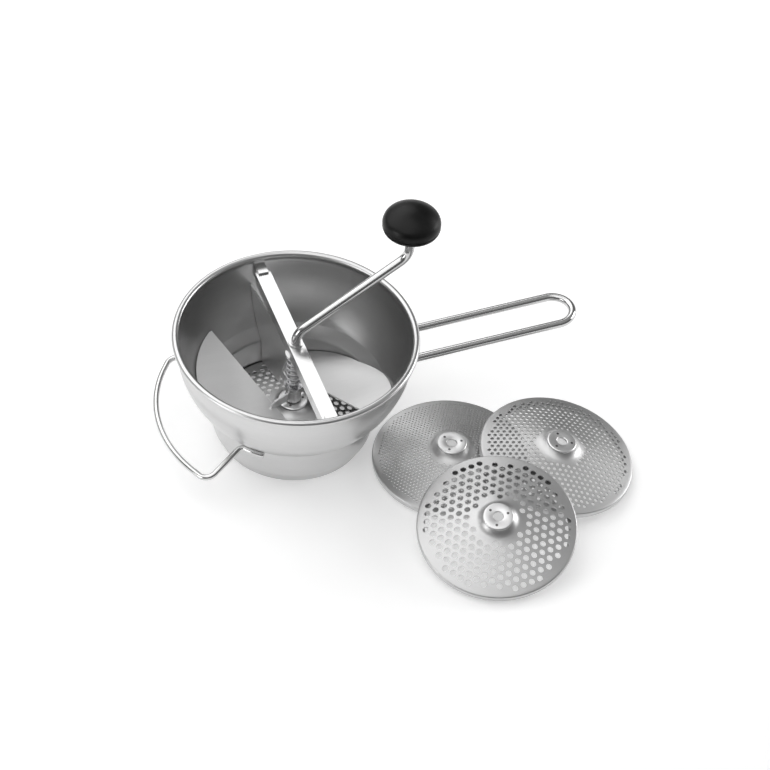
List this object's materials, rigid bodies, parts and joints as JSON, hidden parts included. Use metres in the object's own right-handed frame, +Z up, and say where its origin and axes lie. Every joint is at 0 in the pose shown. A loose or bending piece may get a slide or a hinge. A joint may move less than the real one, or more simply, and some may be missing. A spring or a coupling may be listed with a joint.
{
  "type": "food mill",
  "caption": "Steel food mill: footed bowl with long and front handles, hand crank with round knob, sprung crossbar, slanted blade, and perforated cone discs lying beside it.",
  "frame": {"origin": "centre of the foot ring, on the table", "axes": "+X along the long handle away from the bowl, +Z up along the crank's shaft, +Y towards the bowl's back"},
  "size_m": [0.38, 0.3415, 0.218],
  "materials": {
    "bowl_steel": "satin brushed stainless sheet with a brighter rolled rim",
    "rod_steel": "polished stainless rod",
    "bar_steel": "polished pressed sheet",
    "spring_steel": "drawn wire",
    "blade_steel": "satin sheet",
    "disc_steel": "satin pressed and punched sheet",
    "hub_steel": "bright turned plate",
    "knob_plastic": "satin black moulded plastic"
  },
  "bodies": {
    "bowl": {"bowl": "bowl_steel", "long_handle": "rod_steel", "front_handle": "rod_steel", "bar_lug_back": "bar_steel", "bar_lug_front": "bar_steel", "mill_disc": "disc_steel", "mill_disc_hub": "hub_steel"},
    "bush": {"bar_bush": "bar_steel"},
    "crossbar": {"crossbar": "bar_steel"},
    "thrust": {"thrust_washer": "spring_steel", "spring": "spring_steel"},
    "crank": {"crank_rod": "rod_steel", "shaft_collar": "rod_steel", "blade": "blade_steel", "wall_scraper": "blade_steel", "knob_push_nut": "spring_steel"},
    "knob": {"knob_base": "knob_plastic", "knob_cap": "knob_plastic", "knob_washer": "spring_steel"},
    "fine_disc": {"fine_disc": "disc_steel", "fine_disc_hub": "hub_steel"},
    "medium_disc": {"medium_disc": "disc_steel", "medium_disc_hub": "hub_steel"},
    "coarse_disc": {"coarse_disc": "disc_steel", "coarse_disc_hub": "hub_steel"}
  },
  "joints": [
    {"name": "bar_press", "type": "slide", "parent": "bowl", "child": "bush", "axis": [0, 0, -1], "range_m": [0, 0.0025], "stiffness_N_per_m": 1500, "springref_m": -0.006, "deforming": ["spring"]},
    {"name": "bar_turn", "type": "hinge", "parent": "bush", "child": "crossbar", "pos_m": [0, 0, 0.094], "axis": [0, 0, 1], "range_deg": [0, 30]},
    {"name": "blade_float", "type": "slide", "parent": "bowl", "child": "thrust", "axis": [0, 0, 1], "range_m": [0, 0.002], "stiffness_N_per_m": 1500, "springref_m": -0.006, "deforming": ["spring"]},
    {"name": "crank_turn", "type": "hinge", "parent": "thrust", "child": "crank", "pos_m": [0, 0, 0.06], "axis": [0, 0, 1], "continuous": true},
    {"name": "knob_spin", "type": "hinge", "parent": "crank", "child": "knob", "pos_m": [0.09776, 0.00684, 0.195], "axis": [0, 0, 1], "continuous": true},
    {"name": "fine_lift", "type": "slide", "parent": "bowl", "child": "fine_disc", "axis": [0, 0, 1], "range_m": [0, 0.025]},
    {"name": "medium_lift", "type": "slide", "parent": "fine_disc", "child": "medium_disc", "axis": [0, 0, 1], "range_m": [0, 0.025]},
    {"name": "coarse_lift", "type": "slide", "parent": "medium_disc", "child": "coarse_disc", "axis": [0, 0, 1], "range_m": [0, 0.025]}
  ]
}
